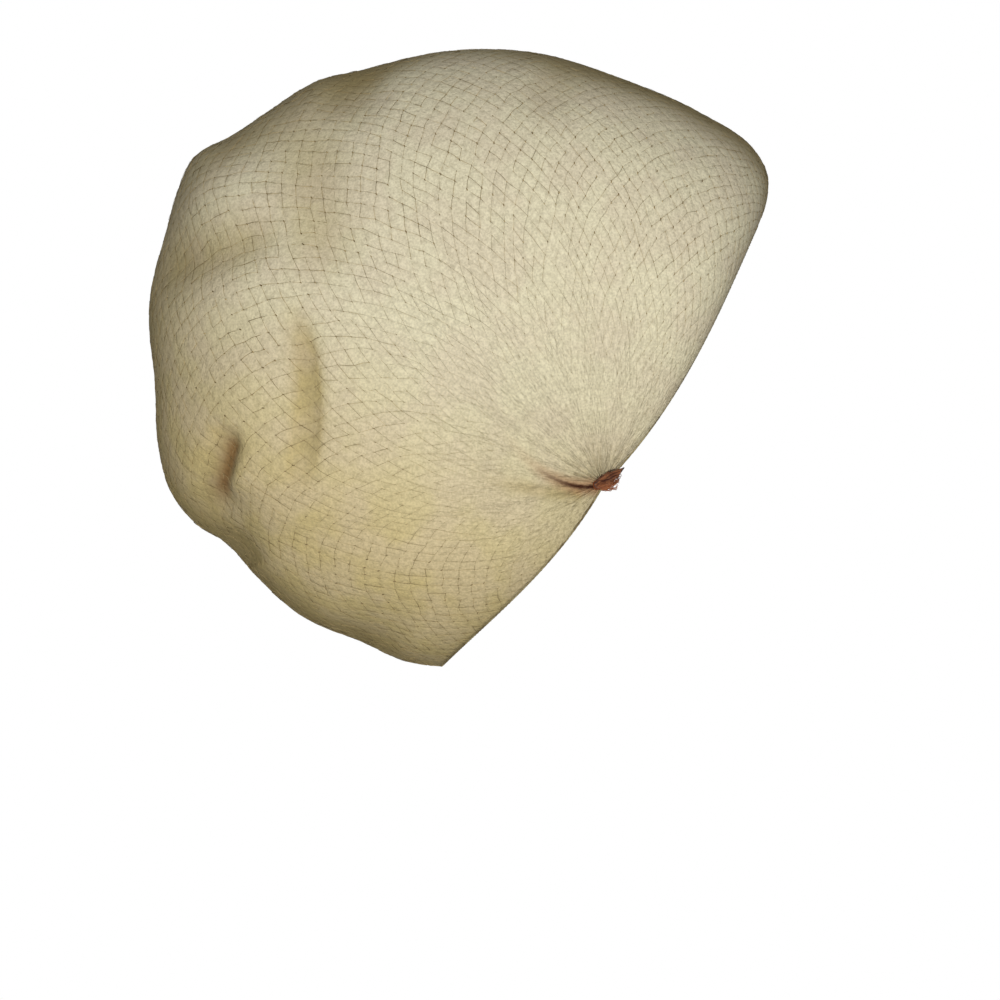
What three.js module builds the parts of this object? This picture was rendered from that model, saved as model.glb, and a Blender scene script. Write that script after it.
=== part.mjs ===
// A hairnet: a full bonnet of fine netted cloth that opens at the front and below.
// A thin elastic cord runs round its rim, and the cloth is bunched and bound at each ear.
// Millimetres. Worn, its front faces +X, its left side +Y and its top +Z.
// The origin is the middle of the straight line between the two ear gathers.

import * as THREE from 'three';

// Driving dimensions of the cloth
const EAR = 75; // from the middle plane to each gather
const COLLAR = 2.5; // radius of the cloth where it enters a gather
const WALL = 1.2;
const CREST_WIDTH = 38; // how far from the middle plane the bumps of the outline die out
const FRONT_BOW = THREE.MathUtils.degToRad(15); // how far the rims curve forward beside the ears
const REAR_BOW = THREE.MathUtils.degToRad(13);
const BOW_POWER = 3; // how soon the bow dies out away from its rim
const BOW_CURVE = 1.6; // how soon it dies out away from the ears
const STEPS_ALONG = 58; // cells from the front rim to the nape rim
const STEPS_ACROSS = 36; // cells from the right ear to the left ear
const SLOPE_STEP = 0.002; // share over which the slope of the cloth is taken

// Pleats that run out from each gather
const PLEAT_HEIGHT = 1.8;
const PLEAT_REACH = 24; // distance from the ear line in which they fade out
const PLEAT_START = 6; // distance from the ear line in which they rise
const PLEATS_PER_RADIAN = 22;
const PLEAT_DRIFT = 1.3; // how far the pleats wander from an even spacing, in radians of a ripple
const PLEAT_DRIFT_RATE = 7; // wanderings per radian

// Elastic cord of the rim
const CORD_DIAMETER = 1.2;
const CORD_STEPS = 36; // stretches from ear to ear
const CORD_SIDES = 8;
const CORD_GAP = 0.8; // from the rim to the cord
const GAP = 0.5; // clearance between a binding and its bunch

// Bunch of cloth beyond each gather, and the thread that binds its neck
const BUNCH_ROOT = new THREE.Vector3(-1.8, EAR + 1.3, -0.4);
const BUNCH_TILT = THREE.MathUtils.degToRad(22); // direction of the bunch above the front
const BUNCH_LENGTH = 9.5;
const BUNCH_OUT = 2.8; // how far the bunch stands out from its root
const BUNCH_NEAR = 1.15; // outward place of its line's first handle, as a share of BUNCH_OUT
const BUNCH_FAR = [0.1, 1.2]; // forward and outward places of the second, as shares
const BUNCH_SPREAD = 3.2; // growth of the bunch's half width from its neck to its end
const BUNCH_THINNING = 0.3; // loss of its half thickness
const BUNCH_SHEAR = 2; // how far the upper edge of its end stands ahead of the middle
const BUNCH_OPENING = 0.25; // share of its length where it starts to widen
const BUNCH_DIMPLE = 0.93; // share of its length where the middle of its end lies
const BUNCH_FRILLS = 9;
const FRILL_HEIGHT = 0.16; // as a share of the radius
const BUNCH_SIDES = 36;
const BUNCH_STEPS = 9;
const NECK_RADIUS = 1.4;
const BINDING_WIRE = 0.45; // radius of the wound thread
const BINDING_OUT = 0.9; // distance of the binding beyond the root
const BINDING_SIDES = 6;
const BINDING_STEPS = 18;

// Sections from the front rim (share 0) over the top and down the back to the nape rim (share 1).
// Each is half an arch from an ear to the middle: angle is its lean in degrees above the front,
// crest its reach from the ear line in the middle plane and flank its reach beside that.
// side and low pull the arch outwards and upwards above the ear, and top outwards near the middle.
const SECTION_COLUMNS = ['share', 'angle', 'crest', 'flank', 'side', 'top', 'low'];
const SECTIONS = [
  [0.0, 59.2, 113.5, 128, 92, 58, 66],
  [0.02, 59.7, 123.0, 132, 93, 64, 66],
  [0.042, 61.4, 132.5, 136, 95, 74, 67],
  [0.07, 65.5, 140.0, 140, 99, 86, 68],
  [0.115, 75.0, 146.0, 146, 105, 96, 70],
  [0.175, 87.0, 154.0, 155, 110, 102, 71],
  [0.235, 98.0, 165.0, 165, 114, 100, 72],
  [0.3, 109.0, 174.0, 174, 116, 94, 73],
  [0.365, 120.0, 181.5, 181, 116, 90, 73],
  [0.4, 125.0, 187.0, 184, 116, 88, 73],
  [0.44, 131.5, 189.5, 188, 116, 88, 72],
  [0.475, 136.5, 192.5, 190, 116, 88, 72],
  [0.505, 141.0, 198.0, 191, 116, 88, 72],
  [0.535, 145.0, 195.5, 190, 116, 88, 72],
  [0.565, 149.5, 191.0, 188, 116, 88, 71],
  [0.62, 158.5, 184.0, 182, 116, 88, 70],
  [0.67, 167.0, 173.5, 174, 115, 88, 69],
  [0.72, 175.5, 168.0, 167, 113, 88, 67],
  [0.755, 181.0, 163.0, 160, 110, 86, 66],
  [0.785, 185.5, 154.5, 153, 108, 84, 64],
  [0.815, 189.0, 143.5, 146, 106, 82, 62],
  [0.85, 195.0, 135.0, 137, 102, 80, 60],
  [0.895, 204.0, 123.5, 124, 97, 74, 56],
  [0.935, 213.0, 109.0, 111, 93, 66, 52],
  [0.975, 222.5, 99.5, 101, 89, 56, 49],
  [1.0, 228.7, 92.0, 94, 87, 48, 48],
];

// Folds in side view: a line that bends from start to end, by its front-back and height places.
// reach is its half width and depth its height above the cloth, negative for a valley.
// fade_in and fade_out are shares of its length, and left is its share of depth on the left side.
const FOLD_COLUMNS = ['name', 'start', 'bend', 'end', 'reach', 'depth', 'fade_in', 'fade_out', 'left'];
const FOLDS = [
  ['nape_fold', [-138, 24], [-142.5, 10], [-151.5, -18], 5.6, -5.2, 0.3, 0.35, 0.6],
  ['nape_notch', [-142, 1.5], [-141.5, -14], [-137.5, -33], 11, -4, 0.3, 0.1, 1],
  ['ear_fold', [-117, 72], [-102.5, 34], [-115, -6], 4.8, -3, 0.35, 0.3, 0.5],
  ['back_valley', [-175, 84], [-139, 83], [-114, 106], 10, -3.6, 0.1, 0.4, 0.7],
  ['crown_step', [-106, 142], [-118, 100], [-94, 70], 14, -3.2, 0.3, 0.4, 0.6],
  ['top_valley', [-107, 153], [-95, 149], [-76, 139], 14, -3, 0.3, 0.5, 1],
  ['fore_valley', [-27, 157], [-21, 148], [-9, 134], 10, -2, 0.4, 0.5, 1],
  ['low_valley', [-103, -49], [-86, -56], [-68, -60], 11, -2, 0.4, 0.4, 1],
  ['gather_fold', [-3, -1], [-16, -2], [-34, 12.5], 2.2, -2.8, 0.02, 0.6, 1],
  ['second_fold', [-7, -3.5], [-24, -4], [-52, 4], 2.6, -1.2, 0.05, 0.6, 1],
];
const FOLD_SAMPLES = 28;
const MIDDLE_START = 4; // folds fade out between these distances from the middle plane
const MIDDLE_END = 40;

// Soft bulges in side view
const LOBE_COLUMNS = ['name', 'centre', 'long', 'high', 'height', 'left'];
const LOBES = [
  ['back_lobe', [-147, 108], 13.5, 12, 2.5, 0.8],
  ['low_lobe', [-133, 36], 15.5, 15.5, 2, 0.8],
  ['middle_lobe', [-137, 70], 12, 11, 1, 0.8],
];

// Colours
const CLOTH_COLOR = '#d2c7a3';
const CORD_COLOR = '#6f6444';
const BUNCH_COLOR = '#8a5136';
const BINDING_COLOR = '#4a2415';

const rowObject = (columns) => (row) => Object.fromEntries(columns.map((name, i) => [name, row[i]]));
const folds = FOLDS.map(rowObject(FOLD_COLUMNS)).map((fold) => ({ ...fold, line: bentLine(fold) }));
const lobes = LOBES.map(rowObject(LOBE_COLUMNS));
const splines = SECTION_COLUMNS.map((_, i) => sectionSpline(i));

// A smooth step from 0 at a to 1 at b
function rise(a, b, x) {
  const u = THREE.MathUtils.clamp((x - a) / (b - a), 0, 1);
  return u * u * (3 - 2 * u);
}

// A cubic through one column of the sections, whose slopes are weighted means of its chords
function sectionSpline(column) {
  const xs = SECTIONS.map((row) => row[0]);
  const ys = SECTIONS.map((row) => row[column]);
  const last = xs.length - 1;
  const chord = (i) => (ys[i + 1] - ys[i]) / (xs[i + 1] - xs[i]);
  const slope = (i) => {
    if (i === 0) return chord(0);
    if (i === last) return chord(last - 1);
    const before = xs[i] - xs[i - 1];
    const after = xs[i + 1] - xs[i];
    return (before * chord(i) + after * chord(i - 1)) / (before + after);
  };
  const slopes = xs.map((_, i) => slope(i));
  return (share) => {
    const found = xs.findIndex((x) => x >= share);
    const i = THREE.MathUtils.clamp(found - 1, 0, last - 1);
    const h = xs[i + 1] - xs[i];
    const u = (share - xs[i]) / h;
    const from = (2 * u ** 3 - 3 * u ** 2 + 1) * ys[i] + (u ** 3 - 2 * u ** 2 + u) * h * slopes[i];
    const to = (3 * u ** 2 - 2 * u ** 3) * ys[i + 1] + (u ** 3 - u ** 2) * h * slopes[i + 1];
    return from + to;
  };
}

// All the columns of the section at a share of the way from rim to rim
function sectionAt(share) {
  return Object.fromEntries(SECTION_COLUMNS.map((name, i) => [name, splines[i](share)]));
}

// Points along a fold's bent line
function bentLine(fold) {
  const [start, bend, end] = [fold.start, fold.bend, fold.end].map(([x, z]) => new THREE.Vector2(x, z));
  return new THREE.QuadraticBezierCurve(start, bend, end).getPoints(FOLD_SAMPLES);
}

// How much of a fold is felt at a place in side view: full on its line, fading beside it and at its ends
function foldShare(fold, place) {
  let nearest = Infinity;
  let along = 0;
  for (let i = 0; i < FOLD_SAMPLES; i += 1) {
    const step = fold.line[i + 1].clone().sub(fold.line[i]);
    const offset = place.clone().sub(fold.line[i]);
    const f = THREE.MathUtils.clamp(offset.dot(step) / step.lengthSq(), 0, 1);
    const distance = offset.addScaledVector(step, -f).length();
    if (distance < nearest) {
      nearest = distance;
      along = (i + f) / FOLD_SAMPLES;
    }
  }
  const ends = rise(0, fold.fade_in, along) * rise(0, fold.fade_out, 1 - along);
  return Math.exp(-((nearest / fold.reach) ** 2)) * ends;
}

// How much of a lobe is felt at a place in side view
function lobeShare(lobe, place) {
  const [x, z] = lobe.centre;
  return Math.exp(-(((place.x - x) / lobe.long) ** 2) - ((place.y - z) / lobe.high) ** 2);
}

// Pleats round a gather: uneven ripples in the angle about the ear line
function pleatHeight(reach, angle) {
  const near = Math.exp(-reach / PLEAT_REACH) * (1 - Math.exp(-reach / PLEAT_START));
  const phase = PLEATS_PER_RADIAN * angle + PLEAT_DRIFT * Math.sin(PLEAT_DRIFT_RATE * angle);
  return (PLEAT_HEIGHT / 2) * near * (1 + Math.sin(phase));
}

// A point of the cloth: share runs from rim to rim, across from the right ear (-1) to the left (1).
// Half an arch is a cubic Bezier in its distances from the middle plane and from the ear line.
function clothPoint(share, across, pleated) {
  const row = sectionAt(share);
  const u = 1 - Math.abs(across);
  const [b0, b1, b2, b3] = [(1 - u) ** 3, 3 * (1 - u) ** 2 * u, 3 * (1 - u) * u ** 2, u ** 3];
  const half = b0 * EAR + b1 * row.side + b2 * row.top;
  const crest = (row.crest - row.flank) * Math.exp(-((half / CREST_WIDTH) ** 2));
  const reach = b0 * COLLAR + b1 * row.low + (b2 + b3) * row.flank + crest;
  const bow = REAR_BOW * share ** BOW_POWER - FRONT_BOW * (1 - share) ** BOW_POWER;
  const bowed = Math.max(1 - reach / row.flank, 0) ** BOW_CURVE * bow;
  const angle = THREE.MathUtils.degToRad(row.angle) + bowed;

  const side = Math.sign(across);
  const point = new THREE.Vector3(reach * Math.cos(angle), side * half, reach * Math.sin(angle));
  const place = new THREE.Vector2(point.x, point.z);
  const amount = (feature) => rise(MIDDLE_START, MIDDLE_END, half) * (side > 0 ? feature.left : 1);
  let lift = pleated ? pleatHeight(reach, angle) : 0;
  for (const fold of folds) lift += amount(fold) * fold.depth * foldShare(fold, place);
  for (const lobe of lobes) lift += amount(lobe) * lobe.height * lobeShare(lobe, place);
  return point.multiplyScalar(1 + lift / point.length());
}

// Directions of the unpleated cloth: sideways towards the left ear, and outwards
function clothAxes(share, across) {
  const [low, high] = [Math.max(share - SLOPE_STEP, 0), Math.min(share + SLOPE_STEP, 1)];
  const [right, left] = [Math.max(across - SLOPE_STEP, -1), Math.min(across + SLOPE_STEP, 1)];
  const along = clothPoint(high, across, false).sub(clothPoint(low, across, false));
  const sideways = clothPoint(share, left, false).sub(clothPoint(share, right, false)).normalize();
  return { sideways, outwards: sideways.clone().cross(along).normalize() };
}

// A mesh geometry from points and triangles
function solid(points, triangles) {
  const geometry = new THREE.BufferGeometry().setFromPoints(points);
  geometry.setIndex(triangles);
  geometry.computeVertexNormals();
  return geometry;
}

// Two triangles for the square a, b, c, d, whose corners run anticlockwise seen from outside
const square = (a, b, c, d) => [a, b, c, a, c, d];

// The cloth: an outer and an inner sheet, joined by a wall along their four edges
function clothGeometry() {
  const outer = [];
  const inner = [];
  for (let i = 0; i <= STEPS_ALONG; i += 1) {
    for (let j = 0; j <= STEPS_ACROSS; j += 1) {
      const share = i / STEPS_ALONG;
      const across = (2 * j) / STEPS_ACROSS - 1;
      outer.push(clothPoint(share, across, true));
      const { outwards } = clothAxes(share, across);
      inner.push(clothPoint(share, across, false).addScaledVector(outwards, -WALL));
    }
  }
  const out = (i, j) => i * (STEPS_ACROSS + 1) + j;
  const inn = (i, j) => outer.length + out(i, j);
  const triangles = [];
  for (let i = 0; i < STEPS_ALONG; i += 1) {
    for (let j = 0; j < STEPS_ACROSS; j += 1) {
      triangles.push(...square(out(i, j), out(i, j + 1), out(i + 1, j + 1), out(i + 1, j)));
      triangles.push(...square(inn(i, j), inn(i + 1, j), inn(i + 1, j + 1), inn(i, j + 1)));
    }
  }
  const [rear, left] = [STEPS_ALONG, STEPS_ACROSS];
  for (let j = 0; j < left; j += 1) {
    triangles.push(...square(out(0, j + 1), out(0, j), inn(0, j), inn(0, j + 1)));
    triangles.push(...square(out(rear, j), out(rear, j + 1), inn(rear, j + 1), inn(rear, j)));
  }
  for (let i = 0; i < rear; i += 1) {
    triangles.push(...square(out(i, 0), out(i + 1, 0), inn(i + 1, 0), inn(i, 0)));
    triangles.push(...square(out(i + 1, left), out(i, left), inn(i, left), inn(i + 1, left)));
  }
  return solid([...outer, ...inner], triangles);
}

// One ring of the cord, beyond the middle of the rim wall at this place on the rim
function cordRing(share, across) {
  const { sideways, outwards } = clothAxes(share, across);
  const away = sideways.cross(outwards).multiplyScalar(share === 0 ? 1 : -1);
  const centre = clothPoint(share, across, false);
  centre.addScaledVector(outwards, -WALL / 2).addScaledVector(away, CORD_DIAMETER / 2 + CORD_GAP);
  return Array.from({ length: CORD_SIDES }, (_, k) => {
    const angle = (2 * Math.PI * k) / CORD_SIDES;
    const point = centre.clone().addScaledVector(away, (CORD_DIAMETER / 2) * Math.cos(angle));
    return point.addScaledVector(outwards, (CORD_DIAMETER / 2) * Math.sin(angle));
  });
}

// The cord: a closed loop along the front rim to the left ear and back along the nape rim
function cordGeometry() {
  const points = [];
  for (let k = 0; k <= CORD_STEPS; k += 1) points.push(...cordRing(0, (2 * k) / CORD_STEPS - 1));
  for (let k = 0; k <= CORD_STEPS; k += 1) points.push(...cordRing(1, 1 - (2 * k) / CORD_STEPS));
  const rings = points.length / CORD_SIDES;
  const at = (i, k) => (i % rings) * CORD_SIDES + (k % CORD_SIDES);
  const triangles = [];
  for (let i = 0; i < rings; i += 1) {
    for (let k = 0; k < CORD_SIDES; k += 1) {
      triangles.push(...square(at(i, k), at(i + 1, k), at(i + 1, k + 1), at(i, k + 1)));
    }
  }
  return solid(points, triangles);
}

// The bunch on the left side: its line leaves the root outwards and bends towards the front.
// It widens into a frilled fan, and side is 1 for the left ear and -1 for the right.
function bunchGeometry(side) {
  const ahead = new THREE.Vector3(Math.cos(BUNCH_TILT), 0, Math.sin(BUNCH_TILT));
  const out = new THREE.Vector3(0, 1, 0);
  const wide = new THREE.Vector3(-Math.sin(BUNCH_TILT), 0, Math.cos(BUNCH_TILT));
  const at = (forward, outward) => {
    const point = BUNCH_ROOT.clone().addScaledVector(ahead, forward * BUNCH_LENGTH);
    return point.addScaledVector(out, outward * BUNCH_OUT);
  };
  const line = new THREE.CubicBezierCurve3(at(0, 0), at(0, BUNCH_NEAR), at(...BUNCH_FAR), at(1, 1));
  const points = [at(0, 0)];
  for (let i = 0; i <= BUNCH_STEPS; i += 1) {
    const u = i / BUNCH_STEPS;
    const centre = line.getPoint(u);
    const thin = line.getTangent(u).cross(wide);
    const opened = rise(BUNCH_OPENING, 1, u);
    const width = NECK_RADIUS + BUNCH_SPREAD * opened;
    const depth = NECK_RADIUS - BUNCH_THINNING * opened;
    for (let k = 0; k < BUNCH_SIDES; k += 1) {
      const angle = (2 * Math.PI * k) / BUNCH_SIDES;
      const frill = 1 + FRILL_HEIGHT * opened * Math.sin(BUNCH_FRILLS * angle);
      const point = centre.clone().addScaledVector(wide, width * frill * Math.cos(angle));
      point.addScaledVector(ahead, BUNCH_SHEAR * opened * Math.cos(angle));
      points.push(point.addScaledVector(thin, depth * frill * Math.sin(angle)));
    }
  }
  points.push(line.getPoint(BUNCH_DIMPLE));
  for (const point of points) point.y *= side;

  const nth = (i, k) => 1 + i * BUNCH_SIDES + (k % BUNCH_SIDES);
  const triangles = [];
  for (let k = 0; k < BUNCH_SIDES; k += 1) {
    triangles.push(0, nth(0, k + 1), nth(0, k));
    triangles.push(points.length - 1, nth(BUNCH_STEPS, k), nth(BUNCH_STEPS, k + 1));
    for (let i = 0; i < BUNCH_STEPS; i += 1) {
      triangles.push(...square(nth(i, k), nth(i, k + 1), nth(i + 1, k + 1), nth(i + 1, k)));
    }
  }
  return solid(points, side > 0 ? triangles : triangles.reverse());
}

// The binding: a ring of wound thread round the neck of a bunch
function bindingGeometry(side) {
  const radius = NECK_RADIUS + GAP + BINDING_WIRE;
  const ring = new THREE.TorusGeometry(radius, BINDING_WIRE, BINDING_SIDES, BINDING_STEPS);
  ring.rotateX(Math.PI / 2);
  ring.translate(BUNCH_ROOT.x, side * (BUNCH_ROOT.y + BINDING_OUT), BUNCH_ROOT.z);
  return ring;
}

// A named piece in its own soft, matt material
function piece(name, geometry, color, roughness) {
  const material = new THREE.MeshStandardMaterial({ color, roughness, metalness: 0 });
  const mesh = new THREE.Mesh(geometry, material);
  mesh.name = name;
  return mesh;
}

const hairnet = new THREE.Group();
hairnet.add(piece('cap_body', clothGeometry(), CLOTH_COLOR, 0.9));
hairnet.add(piece('edge_elastic', cordGeometry(), CORD_COLOR, 0.8));
for (const [name, side] of [['right', -1], ['left', 1]]) {
  hairnet.add(piece(`ear_gather_${name}`, bunchGeometry(side), BUNCH_COLOR, 0.9));
  hairnet.add(piece(`gather_binding_${name}`, bindingGeometry(side), BINDING_COLOR, 0.8));
}

export default hairnet;
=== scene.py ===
"""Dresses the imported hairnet: fine cloth, a knotted net, the elastic rim and the ear gathers.

Metres. Worn, the front faces +X, the left side +Y and the top +Z. The origin is the middle of the
straight line between the two ear gathers. It is laid out as an add-on and is run as a script.
"""

import math

import bpy
import numpy as np
from bpy.props import FloatProperty, FloatVectorProperty, PointerProperty
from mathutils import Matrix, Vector


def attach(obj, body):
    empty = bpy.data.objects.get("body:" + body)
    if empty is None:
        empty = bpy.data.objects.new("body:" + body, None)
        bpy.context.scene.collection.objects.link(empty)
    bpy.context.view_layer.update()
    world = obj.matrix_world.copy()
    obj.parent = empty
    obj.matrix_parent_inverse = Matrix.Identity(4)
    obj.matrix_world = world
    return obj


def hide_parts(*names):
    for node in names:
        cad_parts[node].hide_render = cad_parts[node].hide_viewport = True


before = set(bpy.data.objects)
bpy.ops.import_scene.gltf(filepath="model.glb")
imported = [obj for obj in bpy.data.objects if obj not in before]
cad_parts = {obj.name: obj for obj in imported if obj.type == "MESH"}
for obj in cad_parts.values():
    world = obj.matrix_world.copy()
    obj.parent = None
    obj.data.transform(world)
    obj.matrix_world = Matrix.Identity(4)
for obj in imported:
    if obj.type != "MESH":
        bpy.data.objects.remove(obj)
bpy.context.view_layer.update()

bl_info = {
    "name": "Hairnet",
    "version": (1, 0, 0),
    "blender": (4, 5, 0),
    "location": "3D View > Sidebar > Hairnet",
    "description": "Builds a cloth and net hairnet with an elastic rim and ear gathers",
    "category": "Add Mesh",
}

SEED = 11

# The cloth, as in the part's source
EAR = 0.075
COLLAR = 0.0025
CREST_WIDTH = 0.038
FRONT_BOW = math.radians(15)
REAR_BOW = math.radians(13)
BOW_POWER = 3
BOW_CURVE = 1.6
ROW_CROWDING = 0.3
MIDDLE_START = 0.004
MIDDLE_END = 0.040
PLEAT_REACH = 0.024
PLEAT_START = 0.006
PLEATS_PER_RADIAN = 22
PLEAT_DRIFT = 1.3
PLEAT_DRIFT_RATE = 7
SLOPE_STEP = 0.002

# Sections from the front rim (share 0) over the top and down the back to the nape rim (share 1)
SECTION_COLUMNS = ("share", "angle", "crest", "flank", "side", "top", "low")
SECTIONS = (
    (0.000, 59.2, 0.1135, 0.128, 0.092, 0.058, 0.066),
    (0.020, 59.7, 0.1230, 0.132, 0.093, 0.064, 0.066),
    (0.042, 61.4, 0.1325, 0.136, 0.095, 0.074, 0.067),
    (0.070, 65.5, 0.1400, 0.140, 0.099, 0.086, 0.068),
    (0.115, 75.0, 0.1460, 0.146, 0.105, 0.096, 0.070),
    (0.175, 87.0, 0.1540, 0.155, 0.110, 0.102, 0.071),
    (0.235, 98.0, 0.1650, 0.165, 0.114, 0.100, 0.072),
    (0.300, 109.0, 0.1740, 0.174, 0.116, 0.094, 0.073),
    (0.365, 120.0, 0.1815, 0.181, 0.116, 0.090, 0.073),
    (0.400, 125.0, 0.1870, 0.184, 0.116, 0.088, 0.073),
    (0.440, 131.5, 0.1895, 0.188, 0.116, 0.088, 0.072),
    (0.475, 136.5, 0.1925, 0.190, 0.116, 0.088, 0.072),
    (0.505, 141.0, 0.1980, 0.191, 0.116, 0.088, 0.072),
    (0.535, 145.0, 0.1955, 0.190, 0.116, 0.088, 0.072),
    (0.565, 149.5, 0.1910, 0.188, 0.116, 0.088, 0.071),
    (0.620, 158.5, 0.1840, 0.182, 0.116, 0.088, 0.070),
    (0.670, 167.0, 0.1735, 0.174, 0.115, 0.088, 0.069),
    (0.720, 175.5, 0.1680, 0.167, 0.113, 0.088, 0.067),
    (0.755, 181.0, 0.1630, 0.160, 0.110, 0.086, 0.066),
    (0.785, 185.5, 0.1545, 0.153, 0.108, 0.084, 0.064),
    (0.815, 189.0, 0.1435, 0.146, 0.106, 0.082, 0.062),
    (0.850, 195.0, 0.1350, 0.137, 0.102, 0.080, 0.060),
    (0.895, 204.0, 0.1235, 0.124, 0.097, 0.074, 0.056),
    (0.935, 213.0, 0.1090, 0.111, 0.093, 0.066, 0.052),
    (0.975, 222.5, 0.0995, 0.101, 0.089, 0.056, 0.049),
    (1.000, 228.7, 0.0920, 0.094, 0.087, 0.048, 0.048),
)

# Folds in side view: places of start, bend and end, reach to each side, depth, fades at both ends
# as shares of the length, and how much of it the left side has
FOLD_COLUMNS = ("name", "start", "bend", "end", "reach", "depth", "fade_in", "fade_out", "left")
FOLDS = (
    ("nape_fold", (-0.138, 0.024), (-0.1425, 0.010), (-0.1515, -0.018), 0.0056, -0.0052, 0.3, 0.35, 0.6),
    ("nape_notch", (-0.142, 0.0015), (-0.1415, -0.014), (-0.1375, -0.033), 0.011, -0.004, 0.3, 0.1, 1),
    ("ear_fold", (-0.117, 0.072), (-0.1025, 0.034), (-0.115, -0.006), 0.0048, -0.003, 0.35, 0.3, 0.5),
    ("back_valley", (-0.175, 0.084), (-0.139, 0.083), (-0.114, 0.106), 0.010, -0.0036, 0.1, 0.4, 0.7),
    ("crown_step", (-0.106, 0.142), (-0.118, 0.100), (-0.094, 0.070), 0.014, -0.0032, 0.3, 0.4, 0.6),
    ("top_valley", (-0.107, 0.153), (-0.095, 0.149), (-0.076, 0.139), 0.014, -0.003, 0.3, 0.5, 1),
    ("fore_valley", (-0.027, 0.157), (-0.021, 0.148), (-0.009, 0.134), 0.010, -0.002, 0.4, 0.5, 1),
    ("low_valley", (-0.103, -0.049), (-0.086, -0.056), (-0.068, -0.060), 0.011, -0.002, 0.4, 0.4, 1),
    ("gather_fold", (-0.003, -0.001), (-0.016, -0.002), (-0.034, 0.0125), 0.0022, -0.0028, 0.02, 0.6, 1),
    ("second_fold", (-0.007, -0.0035), (-0.024, -0.004), (-0.052, 0.004), 0.0026, -0.0012, 0.05, 0.6, 1),
)
FOLD_SAMPLES = 28

# Soft bulges in side view, with how much of them the left side has
LOBE_COLUMNS = ("name", "centre", "long", "high", "height", "left")
LOBES = (
    ("back_lobe", (-0.147, 0.108), 0.0135, 0.012, 0.0025, 0.8),
    ("low_lobe", (-0.133, 0.036), 0.0155, 0.0155, 0.002, 0.8),
    ("middle_lobe", (-0.137, 0.070), 0.012, 0.011, 0.001, 0.8),
)

# A band of painted shade along the middle plane, darkest where the cloth turns away at its outline
# in side view: half widths of its core and of the whole, and strength
CREST_SHADE_COLUMNS = ("share", "core", "band", "dark")
CREST_SHADE_BANDS = (
    (0.00, 0.016, 0.054, 0.72),
    (0.12, 0.024, 0.058, 0.84),
    (0.22, 0.030, 0.064, 0.78),
    (0.30, 0.016, 0.044, 0.45),
    (0.37, 0.026, 0.051, 0.90),
    (0.43, 0.018, 0.074, 0.62),
    (0.48, 0.027, 0.051, 0.66),
    (0.53, 0.016, 0.066, 0.50),
    (0.64, 0.014, 0.068, 0.52),
    (0.70, 0.014, 0.042, 0.26),
    (0.80, 0.030, 0.055, 0.80),
    (0.90, 0.022, 0.058, 0.88),
    (0.95, 0.022, 0.050, 0.88),
    (1.00, 0.014, 0.038, 0.30),
)

# The bunch at each ear, as in the part's source
BUNCH_ROOT = (-0.0018, EAR + 0.0013, -0.0004)
BUNCH_TILT = math.radians(22)
BUNCH_LENGTH = 0.0095
BUNCH_OUT = 0.0028
NECK_RADIUS = 0.0014
BUNCH_SPREAD = 0.0032
BUNCH_THINNING = 0.0003
BUNCH_SHEAR = 0.0020
BUNCH_NEAR = 1.15
BUNCH_FAR = (0.1, 1.2)
BINDING_OUT = 0.0009
BUNCH_PLEATS = 22
BUNCH_PLEAT_DEPTH = 0.3
SIDES = (("right", -1), ("left", 1))

# The bunch's finer shape, its loose loops and its binding
BUNCH_SIDES = 132
BUNCH_STEPS = 22
BUNCH_OPENS = 0.2
BUNCH_TAPERS = 0.6
BUNCH_PLEAT_DRIFT = 0.8
BUNCH_LUMP = 0.1
BUNCH_LUMPS = 3
BUNCH_LUMP_TWIST = 5
BUNCH_END = 0.0012
ROPE_SPREAD = 0.0009
ROPE_TAPER = 0.0011
ROPE_RISE = 0.0012
BUNCH_LOOPS = 160
LOOPS_LOWEST = -1.15
LOOPS_USUAL = -0.3
LOOPS_HIGHEST = 0.8
LOOPS_SLANT = 0.12
LOOPS_OPEN = 0.1
LOOPS_FAN = 1.15
LOOP_STATIONS = 14
LOOP_LENGTHS = (0.5, 1.0)
LOOP_GIRTHS = (0.03, 0.16)
LOOP_POWER = 0.8
LOOP_NECK_DEPTH = 0.0004
LOOP_TIP_DEPTH = 0.0011
LOOP_SHAKE = 0.00025
LOOP_SHAKE_FULL = 0.4
LOOP_RADIUS = 0.00011
LOOP_RADII = (0.7, 1.2)
BINDING_TURNS = 6
BINDING_STATIONS = 150
BINDING_SIDES = 8
BINDING_PITCH = 0.8
BINDING_WAVE = 0.12
BINDING_WAVES = 5
BINDING_WANDER = 0.3

# The cloth's grid, how far its marks reach, and how strongly each fold is painted with shade
CLOTH_ALONG = 196
CLOTH_ACROSS = 240
GATHER_REACH = 0.030
EDGE_REACH = 0.006
FOLD_POWER = 3
RIM_SWEEP = math.radians(SECTIONS[-1][1] - SECTIONS[0][1])
# Painted shade in each fold: how strongly it is darkened
CREASES = (
    ("nape_fold", 0.8),
    ("nape_notch", 0.5),
    ("ear_fold", 1.1),
    ("back_valley", 0.6),
    ("crown_step", 0.5),
    ("top_valley", 0.3),
    ("fore_valley", 0.2),
    ("low_valley", 0.3),
    ("second_fold", 0.5),
)

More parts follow.
